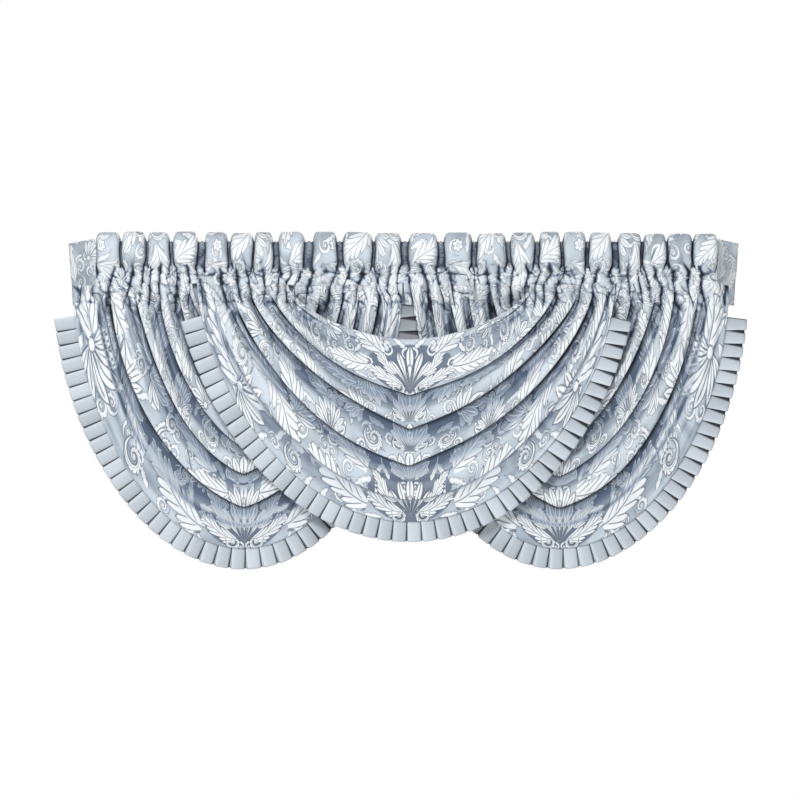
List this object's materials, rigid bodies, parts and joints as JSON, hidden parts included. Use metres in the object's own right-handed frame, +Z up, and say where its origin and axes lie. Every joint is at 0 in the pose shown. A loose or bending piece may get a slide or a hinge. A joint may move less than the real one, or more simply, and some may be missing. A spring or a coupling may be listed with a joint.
{
  "type": "waterfall valance",
  "caption": "Rod-pocket waterfall valance: gathered heading, overlapping draped swags of damask and pleated trims along their hems.",
  "frame": {"origin": "middle of the top edge of the rod pocket", "axes": "+X along the rod to the viewer's right, -Y out of the front towards the viewer, +Z up"},
  "size_m": [1.1001, 0.0935, 0.5346],
  "materials": {
    "damask": "satin jacquard damask, light steel blue ground with white scroll and leaf figure",
    "plain_trim": "plain satin, pale blue grey, knife pleated"
  },
  "bodies": {
    "root": {"heading": "damask", "swag_left": "damask", "swag_right": "damask", "swag_centre": "damask", "trim_left": "plain_trim", "trim_right": "plain_trim", "trim_centre": "plain_trim"}
  },
  "joints": []
}
